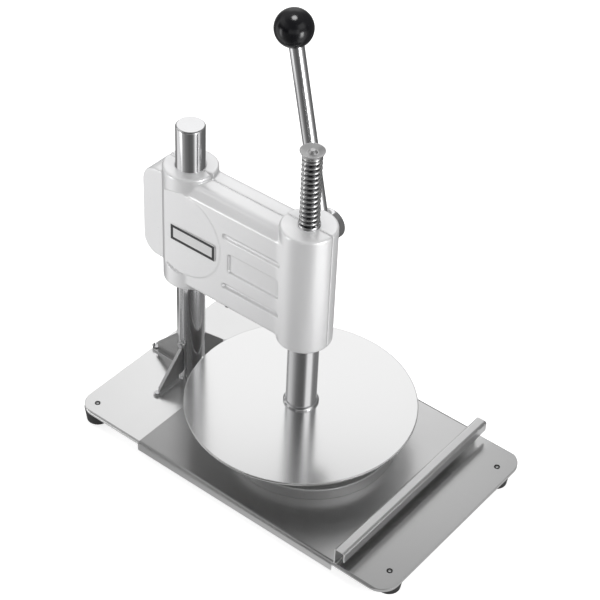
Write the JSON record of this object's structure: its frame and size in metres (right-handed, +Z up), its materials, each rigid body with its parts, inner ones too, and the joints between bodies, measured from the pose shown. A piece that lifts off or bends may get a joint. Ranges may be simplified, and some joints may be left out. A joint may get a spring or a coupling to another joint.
{
  "type": "manual dough press",
  "caption": "Lever-operated dough press: a hinged handle lowers a round plate on a toothed ram onto a lower plate on a pull-out tray, with a clamped head on a column.",
  "frame": {"origin": "centre of the base plate's outline, on the floor under the rubber feet", "axes": "+Z up along the column and the ram, +X towards the grip lip of the tray, +Y towards the side that carries the handle"},
  "size_m": [0.404, 0.2436, 0.4745],
  "materials": {
    "sheet_steel": "brushed stainless sheet",
    "chromed_steel": "bright ground and chromed bar",
    "plate_steel": "finely polished stainless plate",
    "cast_alloy": "fine silver satin casting",
    "screw_steel": "plated screw steel",
    "spring_steel": "oil-tempered spring wire",
    "bronze": "oiled bearing bronze",
    "label": "thin bare label plate",
    "rubber": "matt black rubber",
    "knob_black": "polished black plastic"
  },
  "bodies": {
    "base": {"base_plate": "sheet_steel", "rubber_feet": "rubber", "foot_screws": "screw_steel", "foot_nuts": "screw_steel", "column": "chromed_steel", "column_bolt": "screw_steel", "column_washer": "screw_steel", "gusset_near": "sheet_steel", "gusset_far": "sheet_steel", "gusset_rear": "sheet_steel", "gusset_screws": "screw_steel"},
    "head": {"near_shell": "cast_alloy", "far_shell": "cast_alloy", "head_screws": "screw_steel", "clamp_bolts": "screw_steel", "clamp_washers": "screw_steel", "arm_screw": "screw_steel", "label_plate": "label", "ram_bush_lower": "bronze", "ram_bush_upper": "bronze", "pinion_bush_near": "bronze", "pinion_bush_far": "bronze", "spring_seat": "chromed_steel", "return_spring": "spring_steel", "thrust_washer": "bronze"},
    "handle": {"pinion_shaft": "screw_steel", "handle_hub": "sheet_steel", "hub_pin": "screw_steel", "hub_screw": "screw_steel", "handle_rod": "chromed_steel", "knob": "knob_black"},
    "ram": {"ram": "chromed_steel", "ram_collar": "chromed_steel", "upper_plate": "plate_steel", "plate_screw": "screw_steel", "ram_stud": "chromed_steel", "spring_cap": "chromed_steel", "cap_screw": "screw_steel"},
    "tray": {"tray": "sheet_steel", "lower_plate": "plate_steel", "plate_dowels": "screw_steel"}
  },
  "joints": [
    {"name": "head_height", "type": "slide", "parent": "base", "child": "head", "axis": [0, 0, 1], "range_m": [0, 0.035]},
    {"name": "handle_hinge", "type": "hinge", "parent": "head", "child": "handle", "pos_m": [-0.0205, 0.0511, 0.244], "axis": [0, 1, 0], "range_deg": [0, 126.5]},
    {"name": "ram_slide", "type": "slide", "parent": "head", "child": "ram", "axis": [0, 0, -1], "range_m": [0, 0.0265], "stiffness_N_per_m": 9000, "springref_m": -0.006, "deforming": ["return_spring"]},
    {"name": "tray_slide", "type": "slide", "parent": "base", "child": "tray", "axis": [1, 0, 0], "range_m": [-0.0145, 0.1]}
  ],
  "couplings": [
    {"joint": "ram_slide", "follows": "handle_hinge", "m_per_rad": 0.012}
  ]
}
